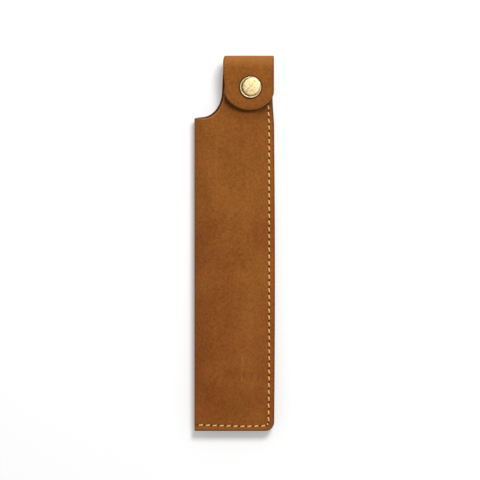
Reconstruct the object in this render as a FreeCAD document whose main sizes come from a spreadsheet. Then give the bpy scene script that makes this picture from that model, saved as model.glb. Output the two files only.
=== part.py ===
import FreeCAD, Part
import math
import os
import re
import Sketcher

Vector = FreeCAD.Vector

# A single pen sleeve of one piece of leather: folded along its left side, sewn along the bottom and the
# right side, and closed by a strap of its back panel that bends over the top and snaps on the front.
# It lies on its back: +X runs from the fold to the sewn side, +Y to the flap's end and +Z to the front.
# Lengths are millimetres, angles are degrees.
SIZES = {
    # The folded leather
    "sleeve_width": 35.0,
    "sleeve_length": 165.0,
    "leather_thickness": 1.6,
    "layer_gap": 0.1,  # between the two layers where they are sewn together
    "flat_swell": 0.016,  # swell that is left where they lie flat on each other
    "fold_bend": 1.4,  # inside radius of the long fold
    "corner_radius": 4.0,  # sewn bottom corner
    "rest_flat": 0.1,  # depth of the flat that the back lies on
    # The swell of the pocket
    "front_swell": 4.0,  # rise of the front panel over its sewn margin
    "back_swell": 3.5,
    "seam_margin": 3.4,  # width of the flat margin that carries the seam
    "crown_left": 11.0,  # from the fold to the flat crown
    "crown_right": 14.0,  # from the flat crown to the sewn edge
    "bottom_rise": 18.6,  # length over which the pocket swells above the bottom seam
    # The neck that carries the snap
    "neck_gap": 2.4,  # space between the two layers
    "neck_length": 17.8,  # flat stretch, down from the top bend
    "neck_drop": 14.0,  # length over which the pocket thins to the neck
    "neck_shoulder": 3.2,  # width of the step from the neck's flat front to the margin
    "neck_front_drop": 7.0,  # from the top bend down to the front panel's upper edge
    # The cut-away mouth
    "mouth_height": 137.7,  # from the bottom to the mouth at the fold
    "mouth_rise": 0.4,
    "mouth_flat": 3.0,  # nearly level stretch beside the fold
    "mouth_curve": 11.9,  # height of the curve up to the neck
    "neck_inset": 12.4,  # from the fold to the end of that curve
    "edge_step": 0.8,  # the front panel's edge stands this far inside the back panel's
    # The flap
    "flap_inset": 13.4,  # from the fold to the flap's left side
    "flap_side_gap": 0.1,  # from the flap's right side to the sewn edge
    "flap_length": 23.6,  # from the top bend to the tip
    "flap_round": 8.4,  # length of the rounded end
    "flap_shoulder_radius": 6.5,
    "fold_turn": 60.0,  # angle of each of the two strips between the hinge lines
    "root_turn": 30.0,  # angle of the bend before the first hinge line and after the last
    # The seam
    "stitch_inset": 2.3,  # from the edges to the seam
    "stitch_pitch": 3.0,
    "stitch_corner": 1.4,  # length cut off each side by the diagonal corner stitch
    "stitch_top_drop": 9.2,  # from the top bend down to the first hole
    "stitch_left_inset": 2.4,  # from the fold to the last hole
    "thread_radius": 0.32,
    "thread_leg": 0.42,  # from the middle of a hole to the thread on either side of it
    "thread_bend": 0.45,  # radius of the thread's turn into a hole
    "thread_room": 0.1,  # between thread and hole
    "thread_lift": 0.02,  # between thread and leather
    # The snap
    "snap_inset": 0.2,  # from the neck's shoulder in to the stud's seat
    "snap_drop": 0.3,  # from the stud's seat down to the swell of the pocket
    "snap_height": 3.4,  # between the neck and the flap
    "plate": 0.4,  # metal of the stud, socket and rivet
    "fit": 0.05,  # between a rivet's barrel and its bore
    "leather_hole_room": 0.1,  # between a rivet's barrel and the leather
    "post_flange_radius": 3.4,
    "post_radius": 1.4,
    "post_wall": 0.35,
    "post_lip": 0.35,  # width of the rolled end
    "post_lip_height": 0.25,
    "stud_flange_radius": 3.5,
    "stud_neck_radius": 1.75,
    "stud_neck_height": 1.15,
    "stud_head_radius": 1.95,
    "stud_head_height": 1.7,
    "stud_top_radius": 1.8,
    "stud_height": 2.15,
    "socket_radius": 3.9,
    "socket_height": 2.85,
    "socket_mouth_radius": 2.75,
    "socket_cavity_radius": 3.4,
    "socket_edge_radius": 0.3,
    "spring_wire": 0.25,  # radius of the wire
    "spring_grip": 1.83,  # from the snap's axis to each straight wire
    "spring_lift": 0.02,  # between the wire and the socket's floor
    "rivet_radius": 1.3,
    "rivet_wall": 0.3,
    "rivet_lip": 0.5,
    "rivet_lip_height": 0.25,
    "rivet_disc_radius": 3.7,
    "rivet_disc": 0.4,
    "cap_radius": 4.7,
    "cap_bead": 0.25,  # radius of the rolled rim
    "cap_groove_depth": 0.4,  # from the rim's middle line in to the groove
    "cap_step": 0.25,  # height of the groove's wall over the rim
    "cap_edge_radius": 0.5,
    "cap_crown": 0.35,  # rise of the low dome
    "cap_top_radius": 0.4,  # flat middle of the dome
    "cap_sheet": 0.25,
    "cap_curl": 0.5,  # width of the rim curled in under the rivet's disc
    # One length past a face serves every cut
    "overrun": 3.0,
}

# Places worked out from the sizes above
PLACES = {
    "half_width": "sleeve_width / 2",
    "half_length": "sleeve_length / 2",
    "margin_height": "leather_thickness + layer_gap / 2",
    "seam_height": "back_swell - rest_flat + margin_height",
    "fold_radius": "fold_bend + leather_thickness",
    "neck_front": "seam_height + margin_height + neck_gap",
    "neck_front_inside": "neck_front - leather_thickness",
    "neck_back": "seam_height - margin_height - flat_swell",
    "neck_start": "sleeve_length - neck_length",
    "flap_under": "neck_front + snap_height",
    "flap_top": "flap_under + leather_thickness",
    "bend_height": "(neck_back + flap_top) / 2",
    "bend_outside": "(flap_top - neck_back) / 2",
    "bend_inside": "bend_outside - leather_thickness",
    "bend_start": "sleeve_length - bend_outside",
    "flap_width": "sleeve_width - flap_inset - flap_side_gap",
    "flap_reach": "flap_length - bend_outside",
    "flap_straight": "flap_reach - flap_round",
    "flap_half": "flap_width / 2",
    "flap_shoulder": "flap_half - flap_shoulder_radius",
    "flap_tip_radius": "(flap_shoulder ^ 2 + flap_round ^ 2 - flap_shoulder_radius ^ 2)"
                       " / (2 * (flap_round - flap_shoulder_radius))",
    "flap_turn_across": "flap_shoulder * flap_tip_radius / (flap_tip_radius - flap_shoulder_radius)",
    "flap_turn_along": "flap_reach - flap_tip_radius"
                       " + (flap_tip_radius - flap_round) * flap_tip_radius"
                       " / (flap_tip_radius - flap_shoulder_radius)",
    "seat_radius": "max(stud_flange_radius; post_flange_radius)",
    "neck_crown": "sleeve_width - seam_margin - neck_shoulder",
    "snap_across": "neck_crown - snap_inset - seat_radius",
    "snap_along": "neck_start + snap_drop + seat_radius",
    "post_bore": "post_radius - post_wall",
    "post_hole": "post_radius + leather_hole_room",
    "post_rise": "plate + leather_thickness + stud_height",
    "rivet_bore": "rivet_radius - rivet_wall",
    "rivet_hole": "rivet_radius + leather_hole_room",
    "rivet_rise": "rivet_lip_height + plate + leather_thickness + cap_sheet",
    "cap_wall": "cap_radius - cap_bead - cap_groove_depth",
    "cap_inside": "cap_wall - cap_sheet",
    "cap_lip_radius": "cap_inside - cap_curl",
    "cap_step_height": "2 * cap_bead + cap_step",
    "cap_shoulder": "cap_step_height + cap_edge_radius",
    "cap_flat": "cap_wall - cap_edge_radius",
    "cap_height": "cap_shoulder + cap_crown",
    "cap_dome_radius": "((cap_flat - cap_top_radius) ^ 2 + cap_crown ^ 2) / (2 * cap_crown)",
    "spring_line": "spring_grip + spring_wire",
    "spring_turn": "socket_cavity_radius - spring_wire - spring_lift - spring_line",
    "spring_leg": "sqrt((socket_cavity_radius - spring_lift) ^ 2 - (spring_line + spring_wire) ^ 2)",
}

RAMP_STEPS = 4  # sections in each rise or drop of the pocket

doc = FreeCAD.newDocument("pen_sleeve")


def fill_sheet(name, entries):
    sheet = doc.addObject("Spreadsheet::Sheet", name)
    for row, (alias, text) in enumerate(entries, start=1):
        sheet.set(f"A{row}", alias)
        sheet.set(f"B{row}", text)
        sheet.setAlias(f"B{row}", alias)
    return sheet


def bound(formula):
    """The formula with each size or place written as its cell."""
    def cell(match):
        word = match.group()
        if word in SIZES:
            return "Sizes." + word
        if word in PLACES:
            return "Places." + word
        return word
    return re.sub(r"[a-z_]+", cell, formula)


sizes = fill_sheet("Sizes", [(name, str(size)) for name, size in SIZES.items()])
fill_sheet("Places", [(name, "=" + bound(formula)) for name, formula in PLACES.items()])
doc.recompute()


def value(formula):
    return float(sizes.evalExpression(bound(formula)))


# Sketches whose every corner is tied to the sheet

def origin_plane(body, role):
    return next(feature for feature in body.Origin.OriginFeatures if feature.Role == role)


def arc_between(start, end, radius, side):
    """The shorter arc from start to end; side is 1 where it bulges to the right of that line, else -1."""
    chord = end - start
    middle = (start + end) / 2
    bulge = Vector(chord.y, -chord.x, 0).normalize() * side
    centre = middle - bulge * math.sqrt(max(radius ** 2 - (chord.Length / 2) ** 2, 0))
    first, last = (start, end) if side > 0 else (end, start)
    angles = [math.atan2(point.y - centre.y, point.x - centre.x) for point in (first, last)]
    if angles[1] < angles[0]:
        angles[1] += 2 * math.pi
    return Part.ArcOfCircle(Part.Circle(centre, Vector(0, 0, 1), radius), *angles)


def sketch_outline(body, name, role, corners, height="0"):
    """A closed outline of corners (x, y, arc), where arc is None or the (radius, side) of the next run."""
    sketch = body.newObject("Sketcher::SketchObject", name)
    sketch.AttachmentSupport = [(origin_plane(body, role), "")]
    sketch.MapMode = "FlatFace"
    sketch.setExpression("AttachmentOffset.Base.z", bound(height))
    points = [Vector(value(x), value(y), 0) for x, y, arc in corners]
    count = len(corners)
    for index, (x, y, arc) in enumerate(corners):
        start = points[index]
        end = points[(index + 1) % count]
        if arc is None:
            sketch.addGeometry(Part.LineSegment(start, end), False)
        else:
            sketch.addGeometry(arc_between(start, end, value(arc[0]), arc[1]), False)
    ends = []
    for index, geometry in enumerate(sketch.Geometry):
        away = [(end - points[index]).Length for end in (geometry.StartPoint, geometry.EndPoint)]
        ends.append((1, 2) if away[0] < away[1] else (2, 1))
    for index in range(count):
        following = (index + 1) % count
        sketch.addConstraint(Sketcher.Constraint("Coincident", index, ends[index][1],
                                                 following, ends[following][0]))
    for index, (x, y, arc) in enumerate(corners):
        for kind, formula in (("DistanceX", x), ("DistanceY", y)):
            row = sketch.addConstraint(Sketcher.Constraint(kind, -1, 1, index, ends[index][0],
                                                           value(formula)))
            sketch.setExpression(f"Constraints[{row}]", bound(formula))
        if arc is not None:
            row = sketch.addConstraint(Sketcher.Constraint("Radius", index, value(arc[0])))
            sketch.setExpression(f"Constraints[{row}]", bound(arc[0]))
    return sketch


def place(piece, across, along, up):
    """Put a piece at a place measured from the fold, the bottom edge and the table."""
    piece.setExpression("Placement.Base.x", bound(f"{across} - half_width"))
    piece.setExpression("Placement.Base.y", bound(f"{along} - half_length"))
    piece.setExpression("Placement.Base.z", bound(up))


def new_body(label):
    body = doc.addObject("PartDesign::Body", label)
    body.Label = label
    return body


def turned_piece(label, corners, up):
    """A piece turned about the snap's axis; corners are (radius, height, arc) from its own base."""
    body = new_body(label)
    sketch = sketch_outline(body, label + "_profile", "XZ_Plane", corners)
    turning = body.newObject("PartDesign::Revolution", label + "_turning")
    turning.Profile = sketch
    turning.ReferenceAxis = (sketch, ["V_Axis"])
    turning.Angle = 360
    place(body, "snap_across", "snap_along", up)
    return body


# The folded leather

def smooth(share):
    return share * share * (3 - 2 * share)


def swell_edges(along, low, high, extra):
    """Two tangent arcs, level at both ends, from the low point to the high one; extra widens the high arc."""
    run = abs(high[0] - low[0])
    rise = abs(high[1] - low[1])
    both = (run ** 2 + rise ** 2) / (2 * rise)
    high_radius = both / 2 + extra
    low_radius = both - high_radius
    turn = math.atan2(run / both, 1 - rise / both)
    outward = math.copysign(1, low[0] - high[0])
    upward = math.copysign(1, high[1] - low[1])

    def on_high(angle):
        return Vector(high[0] + outward * high_radius * math.sin(angle), along,
                       high[1] - upward * high_radius * (1 - math.cos(angle)))

    def on_low(angle):
        return Vector(low[0] - outward * low_radius * math.sin(angle), along,
                       low[1] + upward * low_radius * (1 - math.cos(angle)))

    lower = Part.Arc(on_low(0), on_low(turn / 2), on_high(turn))
    upper = Part.Arc(on_high(turn), on_high(turn / 2), on_high(0))
    return lower, upper


def fold_edges(along, seam, sign, fold, crown_start, swell):
    """From the crown round to the fold: a wide arc, then the fold's own arc, tangent where they meet."""
    slope = 2 * math.atan2(swell - fold[1], crown_start - fold[0])
    wide = fold[1] + (crown_start - fold[0]) / math.sin(slope)

    def on_wide(angle):
        return Vector(crown_start - wide * math.sin(angle), along,
                       seam + sign * (swell - wide * (1 - math.cos(angle))))

    def on_fold(angle):
        return Vector(fold[0] - fold[1] * math.sin(angle), along, seam + sign * fold[1] * math.cos(angle))

    quarter = math.pi / 2
    falling = Part.Arc(on_wide(0), on_wide(slope / 2), on_fold(slope))
    turning = Part.Arc(on_fold(slope), on_fold((slope + quarter) / 2), on_fold(quarter))
    return falling, turning


def leather_section(station, inset, right):
    """The section across the folded sleeve, inset from its outer face, out to the right edge."""
    along, front, back, fold, crown_end = station
    seam = value("seam_height")
    margin = value("margin_height") - inset
    margin_start = value("sleeve_width - seam_margin")
    crown_start = value("crown_left")
    extra = value("leather_thickness") / 2 - inset
    loop = []
    for sign, swell in ((1, front - inset), (-1, back - inset)):
        margin_up = seam + sign * margin
        crown_up = seam + sign * swell
        rising, cresting = swell_edges(along, (margin_start, margin_up), (crown_end, crown_up), extra)
        falling, turning = fold_edges(along, seam, sign, (fold, fold - inset), crown_start, swell)
        run = [Part.LineSegment(Vector(right, along, margin_up), Vector(margin_start, along, margin_up)),
               rising, cresting,
               Part.LineSegment(Vector(crown_end, along, crown_up), Vector(crown_start, along, crown_up)),
               falling, turning]
        loop += [curve.toShape() for curve in run[::sign]]
    closing = Part.LineSegment(Vector(right, along, seam - margin), Vector(right, along, seam + margin))
    return Part.Wire(Part.__sortEdges__(loop + [closing.toShape()]))


def leather_stations():
    """Sections from the bottom to the top bend: (along, front, back, fold radius, crown's right end)."""
    margin = value("margin_height")
    flat = value("flat_swell")
    front_swell = value("front_swell")
    back_swell = value("back_swell")
    neck_gap = value("neck_gap")
    fold = value("fold_radius")
    wide_crown = value("neck_crown")
    crown = value("sleeve_width - crown_right")
    closed = (margin + flat, margin + flat, margin, crown)
    stations = [(0, *closed)]
    for step in range(RAMP_STEPS + 1):
        share = step / RAMP_STEPS
        rise = smooth(share)
        stations.append((value("seam_margin") + share * value("bottom_rise"),
                         margin + flat + rise * (front_swell - flat),
                         margin + flat + rise * (back_swell - flat),
                         margin + rise * (fold - margin), crown))
    for step in range(RAMP_STEPS + 1):
        share = step / RAMP_STEPS
        drop = smooth(share)
        stations.append((value("neck_start") - (1 - share) * value("neck_drop"),
                         margin + front_swell + drop * (neck_gap - front_swell),
                         margin + back_swell + drop * (flat - back_swell),
                         fold + drop * (margin - fold),
                         crown + drop * (wide_crown - crown)))
    top = stations[-1]
    stations.append((value("sleeve_length"), *top[1:]))
    return stations


def slab(points, low, high):
    """An upright prism over a closed outline of edges or corners, between two heights."""
    face = Part.Face(Part.Wire(points))
    face.translate(Vector(0, 0, low))
    return face.extrude(Vector(0, 0, high - low))


def line(start, end):
    return Part.LineSegment(Vector(*start, 0), Vector(*end, 0)).toShape()


def mouth_waste(step, neck_left, neck_top, low, high):
    """What the cut-away mouth takes off one panel; step moves the cut in towards the neck."""
    over = value("overrun")
    width = value("sleeve_width")
    length = value("sleeve_length")
    start = (-over, value("mouth_height"))
    turn = (value("mouth_flat") + step, value("mouth_height + mouth_rise") - step)
    top = (value("neck_inset") + step, turn[1] + value("mouth_curve"))
    shoulder = (neck_left, neck_top)
    centre = Vector(turn[0], top[1], 0)
    ellipse = Part.Ellipse(Vector(turn[0], turn[1], 0), Vector(top[0], top[1], 0), centre)
    if value("mouth_curve") < top[0] - turn[0]:
        ellipse = Part.Ellipse(Vector(top[0], top[1], 0), Vector(turn[0], turn[1], 0), centre)
    spans = sorted((ellipse.parameter(Vector(*turn, 0)), ellipse.parameter(Vector(*top, 0))))
    if spans[1] - spans[0] > math.pi:
        spans = [spans[1], spans[0] + 2 * math.pi]
    curve = Part.ArcOfEllipse(ellipse, *spans).toShape()
    corners = [top, shoulder, (width + over, neck_top), (width + over, length + over),
               (-over, length + over), start, turn]
    outline = [line(corners[index], corners[index + 1]) for index in range(len(corners) - 1)]
    return slab(Part.__sortEdges__(outline + [curve]), low, high)


def corner_waste(low, high):
    """What rounds the sewn bottom corner."""
    width = value("sleeve_width")
    radius = value("corner_radius")
    over = value("overrun")
    slant = radius * (1 - math.sqrt(0.5))
    arc = Part.Arc(Vector(width, radius, 0), Vector(width - slant, slant, 0), Vector(width - radius, 0, 0))
    corners = [(width - radius, 0), (width - radius, -over), (width + over, -over), (width + over, radius),
               (width, radius)]
    outline = [line(corners[index], corners[index + 1]) for index in range(len(corners) - 1)]
    return slab(Part.__sortEdges__(outline + [arc.toShape()]), low, high)


def seam_holes():
    """The holes from the neck down to the corner and along the bottom to the fold."""
    right = value("sleeve_width - stitch_inset")
    low = value("stitch_inset")
    corner = value("stitch_corner")
    runs = (((right, value("sleeve_length - stitch_top_drop")), (right, low + corner)),
            ((right - corner, low), (value("stitch_left_inset"), low)))
    holes = []
    for start, end in runs:
        first = Vector(*start, 0)
        last = Vector(*end, 0)
        count = round((last - first).Length / value("stitch_pitch"))
        holes += [first + (last - first) * (step / count) for step in range(count + 1)]
    return holes


def seam_legs():
    """For each hole, the two places where the thread passes down and up again."""
    holes = seam_holes()
    leg = value("thread_leg")
    pairs = []
    for index, hole in enumerate(holes):
        before = holes[max(index - 1, 0)]
        after = holes[min(index + 1, len(holes) - 1)]
        arriving = hole - before if index else after - hole
        leaving = after - hole if index < len(holes) - 1 else arriving
        pairs.append((hole - arriving.normalize() * leg, hole + leaving.normalize() * leg))
    return pairs


def stitch_slot(start, end, radius, low, high):
    """A round-ended hole through both layers."""
    along = (end - start).normalize() * radius
    side = Vector(-along.y, along.x, 0)
    edges = [Part.LineSegment(start + side, end + side).toShape(),
             Part.Arc(end + side, end + along, end - side).toShape(),
             Part.LineSegment(end - side, start - side).toShape(),
             Part.Arc(start - side, start - along, start + side).toShape()]
    return slab(edges, low, high)


def bend_root():
    """The first part of the top bend, which stays on the back panel."""
    left = value("flap_inset")
    start = value("bend_start")
    low = value("neck_back")
    width = value("flap_width")
    thick = value("leather_thickness")
    corners = [Vector(left, start, low), Vector(left + width, start, low),
               Vector(left + width, start, low + thick), Vector(left, start, low + thick)]
    face = Part.Face(Part.makePolygon(corners + corners[:1]))
    return face.revolve(Vector(0, start, value("bend_height")), Vector(1, 0, 0), value("root_turn"))


def make_sleeve_body():
    over = value("overrun")
    width = value("sleeve_width")
    thick = value("leather_thickness")
    seam = value("seam_height")
    high = value("flap_top")
    stations = leather_stations()
    outside = [leather_section(station, 0, width) for station in stations]
    reaching = [(-over, *stations[0][1:])] + stations[1:-1] + [(stations[-1][0] + over, *stations[-1][1:])]
    inside = [leather_section(station, thick, width + over) for station in reaching]
    sheet = Part.makeLoft(outside, True, True).cut(Part.makeLoft(inside, True, True))
    front_top = value("sleeve_length - neck_front_drop")
    step = value("edge_step")
    left = value("flap_inset")
    hole_radius = value("thread_radius + thread_room")
    cuts = [mouth_waste(step, left + step, front_top, seam, high),
            mouth_waste(0, left, value("bend_start"), -over, seam),
            corner_waste(-over, high),
            Part.makeBox(width + 2 * over, value("sleeve_length") + 2 * over, over, Vector(-over, -over, -over)),
            Part.makeCylinder(value("post_hole"), value("neck_front") - seam + over,
                              Vector(value("snap_across"), value("snap_along"), seam))]
    cuts += [stitch_slot(arriving, leaving, hole_radius, -over, high) for arriving, leaving in seam_legs()]
    sheet = sheet.cut(cuts).fuse(bend_root())
    piece = doc.addObject("Part::Feature", "sleeve_body")
    piece.Label = "sleeve_body"
    piece.Shape = sheet.Solids[0]
    print("sleeve_body solids", len(sheet.Solids))
    place(piece, "0", "0", "0")
    return piece


# The seam's two threads

def thread_path(bar_height, turn_height, sign):
    """One thread: a bar over each stitch and a loop down into each hole, as lines and tangent arcs."""
    bend = value("thread_bend")
    legs = seam_legs()
    up = Vector(0, 0, sign)
    slant = math.sqrt(0.5)
    edges = []
    for (_, start), (end, follower) in zip(legs[:-1], legs[1:]):
        along = (end - start).normalize()
        first = start + Vector(0, 0, turn_height)
        last = end + Vector(0, 0, turn_height)
        rise = up * (abs(bar_height - turn_height) - bend)
        first_top = first + rise
        last_top = last + rise
        bar_start = first_top + (along + up) * bend
        bar_end = last_top + (up - along) * bend
        first_middle = first_top + along * bend + (up - along) * (bend * slant)
        last_middle = last_top - along * bend + (up + along) * (bend * slant)
        edges += [Part.LineSegment(first, first_top), Part.Arc(first_top, first_middle, bar_start),
                  Part.LineSegment(bar_start, bar_end), Part.Arc(bar_end, last_middle, last_top),
                  Part.LineSegment(last_top, last)]
        if follower != end:
            turn_end = follower + Vector(0, 0, turn_height)
            middle = (last + turn_end) / 2
            reach = (turn_end - last).Length / 2
            edges.append(Part.Arc(last, middle - up * reach, turn_end))
    return edges[:-1]


def make_thread(label, sign):
    radius = value("thread_radius")
    bar = value("seam_height") + sign * value("margin_height + thread_lift + thread_radius")
    turn = value("seam_height") + sign * value("thread_lift + thread_radius + thread_leg")
    edges = thread_path(bar, turn, sign)
    path = Part.Wire([edge.toShape() for edge in edges])
    start = edges[0].StartPoint
    ring = Part.Wire(Part.makeCircle(radius, start, Vector(0, 0, sign)))
    tube = path.makePipeShell([ring], True, False)
    print(label, "volume", round(tube.Volume, 3), "section times length",
          round(math.pi * radius ** 2 * path.Length, 3), "edges", len(edges))
    piece = doc.addObject("Part::Feature", label)
    piece.Label = label
    piece.Shape = tube
    place(piece, "0", "0", "0")
    return piece


# The flap and the two strips of its bend, drawn from the middle of the bend

def bend_strip(body, angle, reversed_turn):
    """A strip of leather turned about the bend's own line."""
    corners = [("0", "bend_inside", None), ("flap_width", "bend_inside", None),
               ("flap_width", "bend_outside", None), ("0", "bend_outside", None)]
    sketch = sketch_outline(body, body.Label + "_strip", "XZ_Plane", corners)
    bend = body.newObject("PartDesign::Revolution", body.Label + "_bend")
    bend.Profile = sketch
    bend.ReferenceAxis = (sketch, ["H_Axis"])
    bend.Reversed = reversed_turn
    bend.setExpression("Angle", bound(angle))
    return bend


def make_fold_strip(label, start):
    """A strip that begins at an angle from the back panel."""
    body = new_body(label)
    bend_strip(body, "fold_turn", False)
    place(body, "flap_inset", "bend_start", "bend_height")
    body.Placement.Rotation = FreeCAD.Rotation(Vector(1, 0, 0), value(start) - 180)
    return body


def make_flap():
    body = new_body("flap")
    bend_strip(body, "root_turn", True)
    half = "flap_half"
    corners = [("0", "0", None),
               ("0", "-flap_straight", ("flap_shoulder_radius", 1)),
               (f"{half} - flap_turn_across", "-flap_turn_along", ("flap_tip_radius", 1)),
               (f"{half} + flap_turn_across", "-flap_turn_along", ("flap_shoulder_radius", 1)),
               ("flap_width", "-flap_straight", None),
               ("flap_width", "0", None)]
    sketch = sketch_outline(body, "flap_outline", "XY_Plane", corners, "bend_inside")
    pad = body.newObject("PartDesign::Pad", "flap_panel")
    pad.Profile = sketch
    pad.setExpression("Length", bound("leather_thickness"))
    doc.recompute()
    whole = body.Shape.Volume
    hole = body.newObject("Sketcher::SketchObject", "flap_hole_outline")
    hole.AttachmentSupport = [(origin_plane(body, "XY_Plane"), "")]
    hole.MapMode = "FlatFace"
    hole.setExpression("AttachmentOffset.Base.z", bound("bend_outside + overrun"))
    across = "snap_across - flap_inset"
    along = "snap_along - bend_start"
    hole.addGeometry(Part.Circle(Vector(value(across), value(along), 0), Vector(0, 0, 1), value("rivet_hole")))
    for row, (kind, formula) in enumerate((("DistanceX", across), ("DistanceY", along))):
        hole.addConstraint(Sketcher.Constraint(kind, -1, 1, 0, 3, value(formula)))
        hole.setExpression(f"Constraints[{row}]", bound(formula))
    row = hole.addConstraint(Sketcher.Constraint("Radius", 0, value("rivet_hole")))
    hole.setExpression(f"Constraints[{row}]", bound("rivet_hole"))
    pocket = body.newObject("PartDesign::Pocket", "flap_hole")
    pocket.Profile = hole
    pocket.setExpression("Length", bound("leather_thickness + 2 * overrun"))
    doc.recompute()
    print("flap hole takes", round(whole - body.Shape.Volume, 3))
    place(body, "flap_inset", "bend_start", "bend_height")
    return body


# The snap: post and stud on the neck, socket and spring under the flap, rivet and cap on it

def make_snap_post():
    rim = "post_flange_radius - plate / 2"
    corners = [("post_bore", "0", None),
               (rim, "0", ("plate / 2", 1)),
               ("post_flange_radius", "plate / 2", ("plate / 2", 1)),
               (rim, "plate", None),
               ("post_radius", "plate", None),
               ("post_radius", "post_rise", None),
               ("post_radius + post_lip", "post_rise", None),
               ("post_radius + post_lip", "post_rise + post_lip_height", None),
               ("post_bore", "post_rise + post_lip_height", None)]
    return turned_piece("snap_post", corners, "neck_front_inside - plate")


def make_snap_stud():
    rim = "stud_flange_radius - plate / 2"
    corners = [("post_radius + fit", "0", None),
               (rim, "0", ("plate / 2", 1)),
               ("stud_flange_radius", "plate / 2", ("plate / 2", 1)),
               (rim, "plate", None),
               ("stud_neck_radius", "plate", None),
               ("stud_neck_radius", "stud_neck_height", None),
               ("stud_head_radius", "stud_head_height", None),
               ("stud_top_radius", "stud_height", None),
               ("post_radius + fit", "stud_height", None)]
    return turned_piece("snap_stud", corners, "neck_front")


def make_snap_socket():
    edge = "socket_edge_radius"
    corners = [("socket_mouth_radius", "0", None),
               (f"socket_radius - {edge}", "0", (edge, 1)),
               ("socket_radius", edge, None),
               ("socket_radius", "socket_height", None),
               ("rivet_radius + fit", "socket_height", None),
               ("rivet_radius + fit", "socket_height - plate", None),
               ("socket_cavity_radius", "socket_height - plate", None),
               ("socket_cavity_radius", "plate", None),
               ("socket_mouth_radius", "plate", None)]
    return turned_piece("snap_socket", corners, "flap_under - socket_height")


def make_snap_spring():
    """A hairpin of wire: two straight legs that grip the stud's neck, joined by a half turn."""
    turn = doc.addObject("Part::Torus", "spring_turn_wire")
    turn.setExpression("Radius1", bound("spring_line"))
    turn.setExpression("Radius2", bound("spring_wire"))
    turn.Angle3 = 180
    turn.setExpression("Placement.Base.y", bound("spring_turn"))
    pieces = [turn]
    for side, name in ((-1, "spring_left_wire"), (1, "spring_right_wire")):
        leg = doc.addObject("Part::Cylinder", name)
        leg.setExpression("Radius", bound("spring_wire"))
        leg.setExpression("Height", bound("spring_turn + spring_leg"))
        leg.setExpression("Placement.Base.x", bound(f"{side} * spring_line"))
        leg.setExpression("Placement.Base.y", bound("spring_turn"))
        leg.Placement.Rotation = FreeCAD.Rotation(Vector(1, 0, 0), 90)
        pieces.append(leg)
    spring = doc.addObject("Part::MultiFuse", "snap_spring")
    spring.Shapes = pieces
    spring.Label = "snap_spring"
    place(spring, "snap_across", "snap_along", "flap_under - socket_height + plate + spring_lift + spring_wire")
    return spring


def make_cap_rivet():
    rise = "rivet_rise"
    corners = [("rivet_bore", "0", None),
               ("rivet_radius + rivet_lip", "0", None),
               ("rivet_radius + rivet_lip", "rivet_lip_height", None),
               ("rivet_radius", "rivet_lip_height", None),
               ("rivet_radius", rise, None),
               ("rivet_disc_radius", rise, None),
               ("rivet_disc_radius", f"{rise} + rivet_disc", None),
               ("0", f"{rise} + rivet_disc", None),
               ("0", rise, None),
               ("rivet_bore", rise, None)]
    return turned_piece("cap_rivet", corners, "flap_under - plate - rivet_lip_height")


def make_snap_cap():
    rim = "cap_radius - cap_bead"
    corners = [("cap_lip_radius", "0", None),
               (rim, "0", ("cap_bead", 1)),
               ("cap_radius", "cap_bead", ("cap_bead", 1)),
               (rim, "2 * cap_bead", None),
               ("cap_wall", "2 * cap_bead", None),
               ("cap_wall", "cap_step_height", ("cap_edge_radius", 1)),
               ("cap_flat", "cap_shoulder", ("cap_dome_radius", 1)),
               ("cap_top_radius", "cap_height", None),
               ("0", "cap_height", None),
               ("0", "cap_height - cap_sheet", None),
               ("cap_top_radius", "cap_height - cap_sheet", ("cap_dome_radius", -1)),
               ("cap_flat", "cap_shoulder - cap_sheet", None),
               ("cap_inside", "cap_step_height", None),
               ("cap_inside", "cap_sheet", None),
               ("cap_lip_radius", "cap_sheet", None)]
    return turned_piece("snap_cap", corners, "flap_top")


pieces = [make_sleeve_body(),
          make_fold_strip("flap_fold_lower", "root_turn"),
          make_fold_strip("flap_fold_upper", "root_turn + fold_turn"),
          make_flap(),
          make_snap_post(), make_snap_stud(), make_snap_socket(), make_snap_spring(),
          make_cap_rivet(), make_snap_cap(),
          make_thread("needle_thread", 1), make_thread("bobbin_thread", -1)]
doc.recompute()

for item in doc.Objects:
    faults = [state for state in item.State if state in ("Invalid", "Error")]
    if faults:
        raise RuntimeError(f"{item.Label} did not build: {faults}")
for piece in pieces:
    if piece.Shape.isNull() or not piece.Shape.isValid():
        raise RuntimeError(f"{piece.Label} has no sound shape")

os.makedirs("parts", exist_ok=True)
for piece in pieces:
    piece.Shape.exportStep(f"parts/{piece.Label}.step")
    box = piece.Shape.BoundBox
    print(piece.Label, "solids", len(piece.Shape.Solids), "volume", round(piece.Shape.Volume, 2),
          "low", [round(edge, 2) for edge in (box.XMin, box.YMin, box.ZMin)],
          "high", [round(edge, 2) for edge in (box.XMax, box.YMax, box.ZMax)])
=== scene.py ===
import math

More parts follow.
